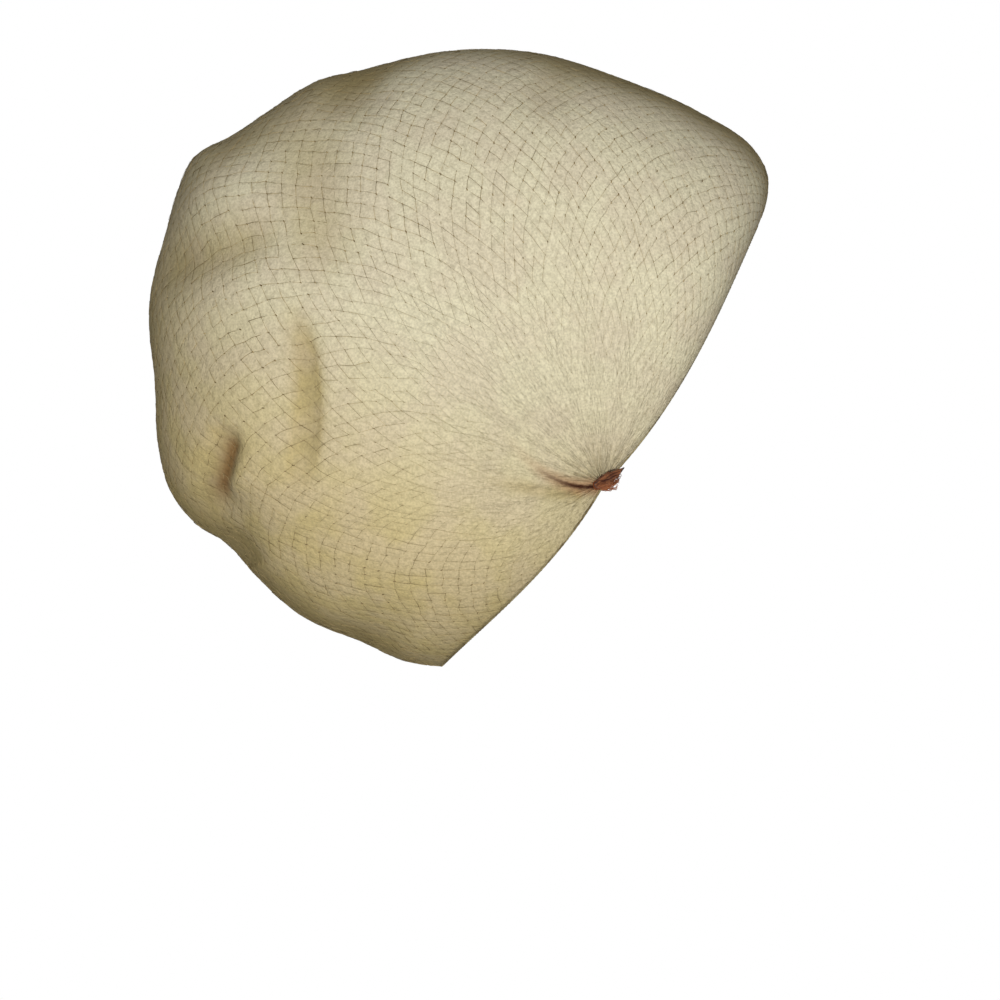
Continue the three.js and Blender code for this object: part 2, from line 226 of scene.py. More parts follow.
# The net: cells from front to nape and from ear to ear, and how irregular and thick its threads are
CELLS_ALONG = 64
FRONT_CELLS = 0.25
CELLS_ACROSS = 48
INSIDE = 0.999
KNOT_SHIFT = 0.08
KNOT_SIDES = 6
KNOT_LENGTH = 2.6
KNOT_HEIGHT = 0.8
KNOT_SIZES = (0.5, 1.2)
FRONT_THREAD = 0.75
FRONT_END = (0.2, 0.4)
THREAD_SIZES = (0.6, 1.15)
THREAD_STATIONS = 4
THREAD_SIDES = 4
THREAD_SLACK = 0.0007
THREAD_LIFT = 0.00011
WIDE_CELL = 0.006
NARROW_CELL = 0.0008
THINNEST = 0.05
WARP_HEIGHT = 0.008
WARP_WAVES = 14
WARP_POWER = 3
WARP_DRIFT = 1.3
WARP_DRIFT_RATE = 9

# The rim
RIM_STATIONS = 260
RIM_SIDES = 8
RIM_COVER = 0.06
RIM_LOOPS = 140
RIM_LOOP_STATIONS = 7
RIM_LOOP_WANDER = 0.3
RIM_LOOP_ARC = 0.75
RIM_LOOP_GAP = 0.3
RIM_LOOP_END = 0.97

# Sockets of a Mix node for colours, which share their names
MIX_FACTOR, MIX_FIRST, MIX_SECOND, MIX_RESULT = 0, 6, 7, 2

# Finishes: sizes and depths in metres, shares of a colour, and ranges of noise
CLOTH_ROUGHNESS = 0.9
THREAD_ROUGHNESS = 0.75
BUNCH_ROUGHNESS = 0.9
FLOOR_ROUGHNESS = 0.85
SPECULAR = 0.1
BUNCH_SHEEN = 0.1
SHEEN_ROUGHNESS = 0.6
NOISE_RANGE = (0.35, 0.65)
WIDE_RANGE = (0.3, 0.7)
FLECK_RANGE = (0.35, 0.75)
FIBRE_RANGE = (0.35, 0.7)
STROKE_RANGE = (0.52, 0.34)
FAR_PUFF_POWER = 0.5
PUFF_SHADE = 0.19
PUFF_SHADE_TOP = 0.08
PUFF_HEIGHT = 0.00016
PUFF_HEIGHT_TOP = 0.00012

# Crepe: strokes in a cell along and across, the shares of gathering that it starts and ends at,
# and how dark the painted shade in its valleys is
CRINKLES = (
    (1.2, 2.6, 0.62, 1.2, 0.16),
    (2.2, 2.8, 0.34, 0.56, 0.11),
    (4.2, 3.0, 0.12, 0.28, 0.09),
    (4.5, 4.4, -0.2, 0.06, 0.09),
)
CRINKLE_BLEND = 0.06
CRINKLE_DEPTH = 0.0012

# Fine marks and painted shade of the cloth, the fold's line into each gather, and the threads' and
# bunches' grain
KNIT_SIZE = 0.0008
KNIT_DEPTH = 0.00008
KNIT_SHADE = 0.19
FLECK_SIZE = 0.002
FLECK_SHADE = 0.12
FLECK_DEPTH = 0.00012
CLOUD_SIZE = 0.017
CLOUD_TINT = 0.3
# Painted shade, warmer in hue, low at the back
LOW_WARM_SHADE_START = 0.03
LOW_WARM_SHADE_FULL = -0.09
LOW_WARM_SHADE_SLANT = 0.55
FOLD_LINE_TINT = 0.6
FOLD_LINE_LEVEL = -0.0011
FOLD_LINE_STRAIGHT = 0.006
FOLD_LINE_BEND = 20.5
FOLD_LINE_SHADE_WIDTH = 0.0016
FOLD_LINE_WANDER = 0.0002
FOLD_LINE_SHADE_FADE = 0.008
FOLD_LINE_SHADE_END = 0.030
FOLD_LINE_TINT_WIDTH = 0.0050
FOLD_LINE_TINT_END = 0.040
FOLD_LINE_SIDE = (0.6, 0.8)
CLOSE_START = 0.08
CLOSE_END = 0.25
CLOSE_CELLS = 2
PUFF_WANDER = 1.2
PUFF_WANDER_SIZE = 0.006
PUFF_CLEAR_SIZE = 0.0022
PUFF_CLEAR = 0.7
PUFF_POWER = 0.4
EDGE_SHADE = 0.25
CREASE_WARM_SHADE = 0.9
CREASE_SHADE = 0.34
FOLD_SHADE = 0.88
GATHER_WARMTH = 0.35
STRAND_SIZE = 0.006
TWIST_SIZE = 0.0004
TWIST_DEPTH = 0.00005
FIBRE_DEPTH = 0.0003
FIBRE_LIGHT = 0.6
FIBRE_COUNTS = (300, 600, 1800)
BUNCH_RED = -0.0022
BUNCH_BROWN = 0.0008

# The stage: each light has a place, a width, a power and a colour
FLOOR_HEIGHT = -0.28
FLOOR_RADIUS = 1.2
FLOOR_SIDES = 96
FLOOR_GRAIN = 30.0
FLOOR_COLOUR = (0.90, 0.90, 0.89)
FLOOR_SHADE = (0.88, 0.88, 0.87)
BACKDROP_COLOUR = (1.0, 1.0, 1.0, 1.0)
AMBIENT_COLOUR = (1.0, 1.0, 1.0, 1.0)
AMBIENT = 0.07
LIGHTS_AIM = (-0.04, 0.0, 0.05)
LIGHTS = (
    ("near_key", (0.0, -2.4, -0.08), 0.7, 49.0, (1.0, 0.99, 0.97)),
    ("far_key", (-0.08, 2.4, -0.08), 0.7, 49.0, (1.0, 0.99, 0.97)),
    ("front", (2.4, 0.0, 0.3), 1.2, 4.0, (1.0, 1.0, 1.0)),
    ("back", (-2.4, 0.0, 0.3), 1.2, 4.0, (1.0, 1.0, 1.0)),
    ("top", (0.0, 0.0, 1.6), 1.2, 4.5, (1.0, 1.0, 1.0)),
)
CAMERA_DISTANCE = 3.0
CAMERA_SENSOR = 36.0
FRAME_WIDTH = 0.38
FRAME_MIDDLE = (-0.038, -0.006)


def rise(a, b, x):
    """A smooth step from 0 at a to 1 at b: 3 u squared less 2 u cubed."""
    u = np.clip((x - a) / (b - a), 0, 1)
    return u * u * (3 - 2 * u)


def unit(v):
    """The vectors of the last axis at length 1."""
    return v / np.maximum(np.linalg.norm(v, axis=-1, keepdims=True), 1e-12)


def table_column(table, column, share):
    """A cubic through one column of a table. Its slopes are weighted means of the chords beside."""
    xs = np.array([row[0] for row in table])
    ys = np.array([row[column] for row in table])
    slopes = np.gradient(ys, xs)
    i = np.clip(np.searchsorted(xs, share) - 1, 0, len(xs) - 2)
    h = xs[i + 1] - xs[i]
    u = (share - xs[i]) / h
    start = (2 * u**3 - 3 * u**2 + 1) * ys[i] + (u**3 - 2 * u**2 + u) * h * slopes[i]
    return start + (3 * u**2 - 2 * u**3) * ys[i + 1] + (u**3 - u**2) * h * slopes[i + 1]


def fold_share(fold, x, z):
    """1 on a fold's bent line, falling off beside it as a bell curve and fading out at its ends."""
    k = np.linspace(0, 1, FOLD_SAMPLES + 1)[:, None]
    start, bend, end = (np.array(fold[part]) for part in ("start", "bend", "end"))
    line = (1 - k) ** 2 * start + 2 * k * (1 - k) * bend + k**2 * end
    nearest = np.full(x.shape, np.inf)
    along = np.zeros(x.shape)
    for i, (step, origin) in enumerate(zip(np.diff(line, axis=0), line)):
        dx, dz = x - origin[0], z - origin[1]
        f = np.clip((dx * step[0] + dz * step[1]) / (step @ step), 0, 1)
        distance = np.hypot(dx - f * step[0], dz - f * step[1])
        along = np.where(distance < nearest, (i + f) / FOLD_SAMPLES, along)
        nearest = np.minimum(distance, nearest)
    ends = rise(0, fold["fade_in"], along) * rise(0, fold["fade_out"], 1 - along)
    return np.exp(-((nearest / fold["reach"]) ** 2)) * ends


def lobe_share(lobe, x, z):
    """A bell curve round a lobe's centre in side view."""
    cx, cz = lobe["centre"]
    return np.exp(-(((x - cx) / lobe["long"]) ** 2) - ((z - cz) / lobe["high"]) ** 2)


def pleats(reach, angle, height):
    """Ripples in the angle about the ear line, which rise and then fade with the reach from it."""
    near = np.exp(-reach / PLEAT_REACH) * (1 - np.exp(-reach / PLEAT_START))
    phase = PLEATS_PER_RADIAN * angle + PLEAT_DRIFT * np.sin(PLEAT_DRIFT_RATE * angle)
    return height / 2 * near * (1 + np.sin(phase))


def across_at(row):
    """The place across the net for rows counted from -1 at the right ear to 1 at the left.

    The rows lie closer near the middle: across is (1 - c) row + c row squared, with the row's sign,
    for c ROW_CROWDING.
    """
    return np.sign(row) * ((1 - ROW_CROWDING) * np.abs(row) + ROW_CROWDING * row**2)


def cloth(share, row, pleat_height):
    """Points of the cloth, and how far each one is from the ear line and how deep in each fold.

    A section is half an arch, a cubic Bezier in the distances from the middle plane and from the
    ear line, turned to the section's angle. Next to the rims it bows, and its middle has a crest.
    Folds, lobes and pleats move points along the line from the origin.
    """
    share, row = np.broadcast_arrays(share, row)
    angle, crest, flank, side, top, low = (
        table_column(SECTIONS, column, share) for column in range(1, len(SECTION_COLUMNS))
    )
    u = 1 - np.abs(across_at(row))
    b0, b1, b2, b3 = (1 - u) ** 3, 3 * (1 - u) ** 2 * u, 3 * (1 - u) * u**2, u**3
    half = b0 * EAR + b1 * side + b2 * top
    reach = b0 * COLLAR + b1 * low + (b2 + b3) * flank
    reach = reach + (crest - flank) * np.exp(-((half / CREST_WIDTH) ** 2))
    bow = REAR_BOW * share**BOW_POWER - FRONT_BOW * (1 - share) ** BOW_POWER
    turn = np.radians(angle) + np.maximum(1 - reach / flank, 0) ** BOW_CURVE * bow

    points = np.stack([reach * np.cos(turn), np.sign(row) * half, reach * np.sin(turn)], axis=-1)
    x, z = points[..., 0], points[..., 2]
    near_side = rise(MIDDLE_START, MIDDLE_END, half)
    lift = pleats(reach, turn, pleat_height)
    creases = {}
    for values in FOLDS:
        fold = dict(zip(FOLD_COLUMNS, values))
        felt = near_side * np.where(row > 0, fold["left"], 1) * fold_share(fold, x, z)
        lift = lift + fold["depth"] * felt
        creases[fold["name"]] = felt
    for values in LOBES:
        lobe = dict(zip(LOBE_COLUMNS, values))
        felt = near_side * np.where(row > 0, lobe["left"], 1) * lobe_share(lobe, x, z)
        lift = lift + lobe["height"] * felt
    distance = np.linalg.norm(points, axis=-1)
    return points * (1 + lift / distance)[..., None], reach, creases


def cloth_axes(share, row, pleat_height):
    """Unit vectors of the cloth: from front to nape, sideways to the left ear, and outwards."""
    before, after = np.clip(share - SLOPE_STEP, 0, 1), np.clip(share + SLOPE_STEP, 0, 1)
    right, left = np.clip(row - SLOPE_STEP, -1, 1), np.clip(row + SLOPE_STEP, -1, 1)
    along = cloth(after, row, pleat_height)[0] - cloth(before, row, pleat_height)[0]
    sideways = unit(cloth(share, left, pleat_height)[0] - cloth(share, right, pleat_height)[0])
    outwards = unit(np.cross(sideways, along))
    return np.cross(outwards, sideways), sideways, outwards


def new_piece(name, points, faces, slot, material, replaces=()):
    """A piece from points and faces, in its own place, riding on the one body."""
    mesh = bpy.data.meshes.new(name)
    mesh.from_pydata(np.reshape(points, (-1, 3)).tolist(), [], np.asarray(faces, object).tolist())
    mesh.polygons.foreach_set("use_smooth", np.ones(len(mesh.polygons), bool))
    mesh.materials.append(material)
    piece = bpy.data.objects.new(name, mesh)
    bpy.context.scene.collection.objects.link(piece)
    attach(piece, "root")
    if replaces:
        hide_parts(*replaces)
    return piece


def grid_faces(rows, columns, wrap_rows=False, wrap_columns=False):
    """Quads of a grid of points in row order, with its last row or column joined to the first."""
    i = np.arange(rows if wrap_rows else rows - 1)[:, None]
    j = np.arange(columns if wrap_columns else columns - 1)[None, :]
    ahead, beside = (i + 1) % rows, (j + 1) % columns
    corners = [i * columns + j, i * columns + beside, ahead * columns + beside, ahead * columns + j]
    return np.stack(np.broadcast_arrays(*corners), axis=-1).reshape(-1, 4)


def fan(first, count, tip):
    """Triangles from a closed ring of points, whose numbers run on from the first, to a tip."""
    ring = first + np.arange(count)
    return np.stack([ring, np.roll(ring, -1), np.full(count, tip)], axis=1)


def tubes(centres, outwards, radii, sides, closed=False):
    """Many threads at once: a round section carried along each path, with flat ends.

    centres and outwards are threads by stations by 3, and radii is threads by stations. With the
    path's own direction t, side = t x outwards and up = side x t, a point is
    centre + radius (cos a side + sin a up).
    """
    count, stations = centres.shape[:2]
    if closed:
        along = unit(np.roll(centres, -1, axis=1) - np.roll(centres, 1, axis=1))
    else:
        along = unit(np.gradient(centres, axis=1))
    side = unit(np.cross(along, outwards))
    up = np.cross(side, along)
    a = np.arange(sides) * 2 * np.pi / sides
    spokes = np.cos(a)[:, None] * side[..., None, :] + np.sin(a)[:, None] * up[..., None, :]
    points = centres[..., None, :] + radii[..., None, None] * spokes
    one = grid_faces(stations, sides, wrap_rows=closed, wrap_columns=True)
    starts = np.arange(count)[:, None] * stations * sides
    faces = (one[None] + starts[..., None]).reshape(-1, 4).tolist()
    if not closed:
        ring = np.arange(sides)
        faces += (starts + ring[::-1]).tolist()
        faces += (starts + (stations - 1) * sides + ring).tolist()
    return points, faces


def crest_shade_share(share, half):
    """How strong the band of painted shade is: a smooth step from its edge to its core."""
    core, band, dark = (
        table_column(CREST_SHADE_BANDS, column, share) for column in range(1, len(CREST_SHADE_COLUMNS))
    )
    return dark * rise(band, core, half)


def net_warp(share, row):
    """How far threads gather towards the pleats: a sine of the share that grows near the ears."""
    envelope = np.sin(np.pi * share) ** 0.5 * np.abs(row) ** WARP_POWER
    phase = 2 * np.pi * WARP_WAVES * share + WARP_DRIFT * np.sin(WARP_DRIFT_RATE * share)
    return WARP_HEIGHT * envelope * np.sin(phase)


def net_knots(chance):
    """Shares and rows of a grid of half cells, each moved a little at random, but not off its rim.

    The cells are narrower towards the front: the share is (1 - f) c + f c squared for a cell count
    c from 0 to 1, with f FRONT_CELLS.
    """
    cell, row = np.meshgrid(
        np.linspace(0, 1, 2 * CELLS_ALONG + 1),
        np.linspace(-1, 1, 2 * CELLS_ACROSS + 1),
        indexing="ij",
    )
    inner = (np.abs(2 * cell - 1) < INSIDE) & (np.abs(row) < INSIDE)
    share = (1 - FRONT_CELLS) * cell + FRONT_CELLS * cell**2
    share = share + net_warp(share, row)
    share = share + inner * KNOT_SHIFT / CELLS_ALONG * chance.uniform(-1, 1, share.shape)
    row = row + inner * 2 * KNOT_SHIFT / CELLS_ACROSS * chance.uniform(-1, 1, share.shape)
    return share, row


def cell_count(share, row):
    """The count of cells from the front rim at a share: net_knots's formula turned round."""
    plain = share - net_warp(share, row)
    root = np.sqrt((1 - FRONT_CELLS) ** 2 + 4 * FRONT_CELLS * np.maximum(plain, 0))
    return CELLS_ALONG * (root - (1 - FRONT_CELLS)) / (2 * FRONT_CELLS)


def net_edges(share, row, rising):
    """The ends of the threads that cross the half cells one way, as four arrays.

    Half cell (i, j) holds a rising thread, (i, j) to (i + 1, j + 1), where i + j is even, and a
    falling one, (i + 1, j) to (i, j + 1), where it is odd.
    """
    i, j = np.meshgrid(np.arange(2 * CELLS_ALONG), np.arange(2 * CELLS_ACROSS), indexing="ij")
    chosen = (i + j) % 2 == (0 if rising else 1)
    i, j = i[chosen], j[chosen]
    start = (i, j) if rising else (i + 1, j)
    end = (i + 1, j + 1) if rising else (i, j + 1)
    return share[start], row[start], share[end], row[end]


def cell_width(share, row, pleat_height):
    """The width of a net cell along the rim's direction at each place, in metres."""
    step = 0.5 / CELLS_ALONG
    low = cloth(np.clip(share - step, 0, 1), row, pleat_height)[0]
    high = cloth(np.clip(share + step, 0, 1), row, pleat_height)[0]
    return np.linalg.norm(high - low, axis=-1)


def thread_thinning(share, row, pleat_height):
    """Threads are thinner where cells are narrow, to THINNEST, and in front, to FRONT_THREAD."""
    width = cell_width(share, row, pleat_height)
    close = np.clip((width - NARROW_CELL) / (WIDE_CELL - NARROW_CELL), THINNEST, 1)
    return close * (FRONT_THREAD + (1 - FRONT_THREAD) * rise(*FRONT_END, share))


class Value:
    """A socket of a material's nodes. Arithmetic on it adds Math nodes."""

    def __init__(self, finish, socket):
        self.finish = finish
        self.socket = socket

    def __add__(self, other):
        return self.finish.maths("ADD", self, other)

    def __sub__(self, other):
        return self.finish.maths("SUBTRACT", self, other)

    def __rsub__(self, other):
        return self.finish.maths("SUBTRACT", other, self)

    def __mul__(self, other):
        return self.finish.maths("MULTIPLY", self, other)

    def __pow__(self, other):
        return self.finish.maths("POWER", self, other)

    __radd__ = __add__
    __rmul__ = __mul__


class Finish:
    """A material being made from nodes around one Principled shader."""

    def __init__(self, name, roughness, sheen=0.0):
        self.material = bpy.data.materials.new(name)
        self.material.use_nodes = True
        self.tree = self.material.node_tree
        self.shader = self.tree.nodes["Principled BSDF"]
        fixed = {
            "Roughness": roughness,
            "Specular IOR Level": SPECULAR,
            "Sheen Weight": sheen,
            "Sheen Roughness": SHEEN_ROUGHNESS,
        }
        for socket, value in fixed.items():
            self.put(self.shader.inputs[socket], value)

    def put(self, socket, value):
        """Links a Value to a socket, or sets a constant on it."""
        if isinstance(value, Value):
            self.tree.links.new(value.socket, socket)
        elif isinstance(value, (int, float)):
            socket.default_value = value
        else:
            socket.default_value = tuple(value)

    def node(self, kind, settings, inputs, output=0):
        """Adds any node: its settings first, then the values or links of its sockets."""
        node = self.tree.nodes.new(kind)
        for name, value in settings.items():
            setattr(node, name, value)
        for name, value in inputs.items():
            self.put(node.inputs[name], value)
        return Value(self, node.outputs[output])

    def maths(self, operation, *values):
        return self.node("ShaderNodeMath", {"operation": operation}, dict(enumerate(values)))

    def ramp(self, value, low, high, start=0.0, end=1.0):
        """A smooth step of a value, from start at low to end at high."""
        inputs = {"Value": value, "From Min": low, "From Max": high, "To Min": start, "To Max": end}
        return self.node("ShaderNodeMapRange", {"interpolation_type": "SMOOTHSTEP"}, inputs)

    def mix(self, factor, first, second):
        """A colour between two, each given as red, green and blue or as a link."""
        first, second = (
            colour if isinstance(colour, Value) else (*colour, 1.0) for colour in (first, second)
        )
        inputs = {MIX_FACTOR: factor, MIX_FIRST: first, MIX_SECOND: second}
        return self.node("ShaderNodeMix", {"data_type": "RGBA"}, inputs, output=MIX_RESULT)

    def place(self):
        """The Object coordinates."""
        return self.node("ShaderNodeTexCoord", {}, {}, output="Object")

    def part(self, vector, axis):
        """One of a vector's numbers: X, Y or Z."""
        return self.node("ShaderNodeSeparateXYZ", {}, {"Vector": vector}, output=axis)

    def vector(self, x, y, z=0.0):
        return self.node("ShaderNodeCombineXYZ", {}, {"X": x, "Y": y, "Z": z})

    def attribute(self, name):
        """A number kept on the mesh's points."""
        return self.node("ShaderNodeAttribute", {"attribute_name": name}, {}, output="Fac")

    def noise(self, vector, scale, detail=2.0):
        """Soft random lumps from 0 to 1, about 1 / scale across."""
        inputs = {"Vector": vector, "Scale": scale, "Detail": detail}
        return self.node("ShaderNodeTexNoise", {}, inputs)

    def relief(self, height):
        """Bump from a height in metres."""
        inputs = {"Height": height, "Distance": 1.0}
        bump = self.node("ShaderNodeBump", {}, inputs, output="Normal")
        self.put(self.shader.inputs["Normal"], bump)

    def base_colour(self, colour):
        self.put(self.shader.inputs["Base Color"], colour)


def crinkles(finish, u, v, gather):
    """How deep the crepe is, also painted as shade in its valleys: short strokes that point to the ears.

    Each row of CRINKLES adds noise with its own count of strokes in a cell, along the rim and
    towards the ear, which is felt between two shares of gathering.
    """
    total = 0.0
    for along, across, start, end, dark in CRINKLES:
        strokes = finish.noise(finish.vector(u * along, v * across, along), 1.0, detail=1.0)
        felt = finish.ramp(gather, start - CRINKLE_BLEND, start)
        felt = felt * finish.ramp(gather, end + CRINKLE_BLEND, end)
        total = finish.ramp(strokes, *STROKE_RANGE, 0.0, dark) * felt + total
    return total


def diamonds(finish, u, v):
    """0 on the threads of a net and 1 between them: |sin(pi (u - v)) sin(pi (u + v))|."""
    rising = finish.maths("ABSOLUTE", finish.maths("SINE", (u - v) * math.pi))
    falling = finish.maths("ABSOLUTE", finish.maths("SINE", (u + v) * math.pi))
    return rising * falling


def close_puff(finish, u, v, place):
    """The cloth's puffs between close threads: small diamonds that shift a little, come and go."""
    shift = finish.noise(place, 1 / PUFF_WANDER_SIZE, detail=1.0) * PUFF_WANDER
    puff = diamonds(finish, u + shift, v * CLOSE_CELLS) ** PUFF_POWER
    clear = finish.noise(place, 1 / PUFF_CLEAR_SIZE, detail=0.0)
    clear = finish.ramp(clear, *NOISE_RANGE, 0.0, PUFF_CLEAR)
    return finish.maths("MAXIMUM", puff, clear)


def fold_line_tint_and_shade(finish, place, fleck):
    """A reddish tint and a dark line of painted shade along the fold into each gather, as two shares.

    In side view the line's height is FOLD_LINE_LEVEL + FOLD_LINE_BEND d squared, for a distance d behind
    FOLD_LINE_STRAIGHT. Both marks fall off beside it and towards its far end.
    """
    behind = finish.part(place, "X") * -1
    bend = finish.maths("MAXIMUM", behind - FOLD_LINE_STRAIGHT, 0.0) ** 2 * FOLD_LINE_BEND
    off = finish.maths("ABSOLUTE", finish.part(place, "Z") - FOLD_LINE_LEVEL - bend)
    off = off + finish.ramp(fleck, *WIDE_RANGE, -FOLD_LINE_WANDER, FOLD_LINE_WANDER)
    tint = finish.ramp(off, FOLD_LINE_TINT_WIDTH, 0.0) * finish.ramp(behind, FOLD_LINE_TINT_END, 0.0)
    line = finish.ramp(off, FOLD_LINE_SHADE_WIDTH, 0.0) * finish.ramp(behind, FOLD_LINE_SHADE_END, FOLD_LINE_SHADE_FADE)
    half = finish.maths("ABSOLUTE", finish.part(place, "Y"))
    beside = finish.ramp(half, *(EAR * part for part in FOLD_LINE_SIDE))
    return tint * beside * FOLD_LINE_TINT, line * beside


def cloth_finish(colours):
    """Fine cloth: puffed between the threads, crinkled near the ears, warmer and painted darker low at
    the back.
    """
    finish = Finish("hairnet_cloth", CLOTH_ROUGHNESS)
    place = finish.place()
    x, z = finish.part(place, "X"), finish.part(place, "Z")
    u, v, crease, fold = map(finish.attribute, ("net_u", "net_v", "crease", "fold"))
    gather, crest, edge = map(finish.attribute, ("gather", "crest", "edge"))

    far_puff = diamonds(finish, u, v) ** FAR_PUFF_POWER
    close = finish.ramp(gather, CLOSE_START, CLOSE_END)
    puff = close_puff(finish, u, v, place) * close + far_puff * (1 - close)
    crinkle = crinkles(finish, u, v, gather)
    knit = finish.noise(place, 1 / KNIT_SIZE, detail=1.0)
    fleck = finish.noise(place, 1 / FLECK_SIZE, detail=2.0)
    cloud = finish.noise(place, 1 / CLOUD_SIZE, detail=2.0)

    # Painted shade, warmer in hue, low at the back and in the folds; a warmer tone near the gathers
    low = finish.ramp(x * LOW_WARM_SHADE_SLANT + z, LOW_WARM_SHADE_START, LOW_WARM_SHADE_FULL)
    warmth_and_shade = finish.maths("MINIMUM", low + crease * CREASE_WARM_SHADE + gather * GATHER_WARMTH, 1.0)
    colour = finish.mix(warmth_and_shade, colours.cloth, colours.warm_and_shade)
    # Painted shade in the folds
    colour = finish.mix(crease * CREASE_SHADE, colour, colours.shade)
    clouds = finish.ramp(cloud, *NOISE_RANGE, 0.0, CLOUD_TINT)
    colour = finish.mix(clouds, colour, colours.tint)
    # Painted shade under the threads, where the cloth dips between its puffs
    shade = (1 - puff) * (close * (PUFF_SHADE - PUFF_SHADE_TOP) + PUFF_SHADE_TOP)
    # Painted shade along both rims; the flecks and the knit are random tone
    shade = shade + edge * EDGE_SHADE + finish.ramp(fleck, *FLECK_RANGE, 0.0, FLECK_SHADE)
    # Painted shade in the crepe's valleys, and knit grain
    shade = shade + crinkle + finish.ramp(knit, *NOISE_RANGE, 0.0, KNIT_SHADE)
    # Painted shade along the middle plane, from the crest attribute
    colour = finish.mix(crest, colour, colours.crest)
    colour = finish.mix(finish.maths("MINIMUM", shade, 1.0), colour, colours.shade)
    # Painted shade in the deepest fold, low at the back
    colour = finish.mix(fold * FOLD_SHADE, colour, colours.fold)
    # The fold's line: a reddish tint of bunched net and a dark line of painted shade
    tint, line = fold_line_tint_and_shade(finish, place, fleck)
    colour = finish.mix(tint, colour, colours.bunch_light)
    colour = finish.mix(line, colour, colours.seam)
    finish.base_colour(colour)

    height = puff * (close * (PUFF_HEIGHT - PUFF_HEIGHT_TOP) + PUFF_HEIGHT_TOP)
    finish.relief(height - crinkle * CRINKLE_DEPTH + knit * KNIT_DEPTH + fleck * FLECK_DEPTH)
    return finish.material


def thread_finish(name, colour, darker):
    """Spun thread: its colour varies from strand to strand, with a fine twist in relief."""
    finish = Finish(name, THREAD_ROUGHNESS)
    place = finish.place()
    strand = finish.noise(place, 1 / STRAND_SIZE, detail=2.0)
    twist = finish.noise(place, 1 / TWIST_SIZE, detail=0.0)
    mixed = finish.mix(finish.ramp(strand, *WIDE_RANGE), colour, darker)
    finish.base_colour(mixed)
    finish.relief(twist * TWIST_DEPTH)
    return finish.material


def bunch_finish(colours):
    """Bunched net: dark brown at its upper edge, reddish below, with fine fibres in relief."""
    finish = Finish("bunched_net", BUNCH_ROUGHNESS, BUNCH_SHEEN)
    place = finish.place()
    x, y, z = (finish.part(place, axis) for axis in "XYZ")
    height = z * math.cos(BUNCH_TILT) - x * math.sin(BUNCH_TILT)
    ahead, out, up = FIBRE_COUNTS
    fibre = finish.noise(finish.vector(x * ahead, height * up, y * out), 1.0)
    upper = finish.ramp(height, BUNCH_RED, BUNCH_BROWN)
    colour = finish.mix(upper, colours.bunch, colours.binding)
    light = finish.ramp(fibre, *FIBRE_RANGE, 0.0, FIBRE_LIGHT)
    colour = finish.mix(light, colour, colours.bunch_light)
    finish.base_colour(colour)
    finish.relief(fibre * FIBRE_DEPTH)
    return finish.material


def floor_finish():
    """A plain pale floor with hardly any grain."""
    finish = Finish("plain_floor", FLOOR_ROUGHNESS)
    grain = finish.noise(finish.place(), FLOOR_GRAIN)
    finish.base_colour(finish.mix(grain, FLOOR_COLOUR, FLOOR_SHADE))
    return finish.material


def bunch_line(u, side):
    """The middle line of a bunch: a cubic Bezier out of the gather that bends forward and up."""
    ahead = np.array([math.cos(BUNCH_TILT), 0, math.sin(BUNCH_TILT)])
    b1, b2, b3 = 3 * (1 - u) ** 2 * u, 3 * (1 - u) * u**2, u**3
    reach = b2 * BUNCH_FAR[0] + b3
    out = b1 * BUNCH_NEAR + b2 * BUNCH_FAR[1] + b3
    points = np.array(BUNCH_ROOT) + BUNCH_LENGTH * reach[..., None] * ahead
    points[..., 1] += BUNCH_OUT * out
    return points * np.array([1, side, 1])


def bunch_wide():
    """The direction across a bunch's middle line in side view."""
    return np.array([-math.sin(BUNCH_TILT), 0, math.cos(BUNCH_TILT)])


def bunch_surface(side):
    """A rope of pleats round the middle line, closed at both ends.

    A ring has the half widths w in side view and d across that, each times a pleat term
    1 + F (|sin(n a / 2)| - 0.5), where a runs round the ring and F grows towards the open end.
    """
    u = np.linspace(0, 1, BUNCH_STEPS)[:, None]
    a = np.linspace(0, 2 * np.pi, BUNCH_SIDES, endpoint=False)[None, :]
    opened = rise(BUNCH_OPENS, 1, u)
    centre = bunch_line(u[:, 0], side)
    along = unit(np.gradient(centre, axis=0))
    wide = bunch_wide()
    thin = unit(np.cross(along, wide)) * side
    phase = BUNCH_PLEATS * a / 2 + BUNCH_PLEAT_DRIFT * np.sin(a)
    pleat = 1 + BUNCH_PLEAT_DEPTH * opened * (np.abs(np.sin(phase)) - 0.5)
    pleat = pleat * (1 + BUNCH_LUMP * opened * np.sin(BUNCH_LUMPS * a + BUNCH_LUMP_TWIST * u))
    width = NECK_RADIUS + (ROPE_SPREAD * opened - ROPE_TAPER * rise(BUNCH_TAPERS, 1, u))
    depth = NECK_RADIUS - BUNCH_THINNING * opened
    points = centre[:, None, :] + (width * pleat * np.cos(a) + ROPE_RISE * opened)[..., None] * wide
    points = points + (BUNCH_SHEAR * opened * np.cos(a))[..., None] * np.cross([0, 1, 0], wide)
    points = points + (depth * pleat * np.sin(a))[..., None] * thin[:, None, :]
    ends = np.stack([centre[0], centre[-1] - BUNCH_END * along[-1]])
    faces = grid_faces(BUNCH_STEPS, BUNCH_SIDES, wrap_columns=True).tolist()
    tip = BUNCH_STEPS * BUNCH_SIDES
    faces += fan(0, BUNCH_SIDES, tip)[:, ::-1].tolist()
    faces += fan(tip - BUNCH_SIDES, BUNCH_SIDES, tip + 1).tolist()
    if side < 0:
        faces = [face[::-1] for face in faces]
    return np.concatenate([points.reshape(-1, 3), ends]), faces


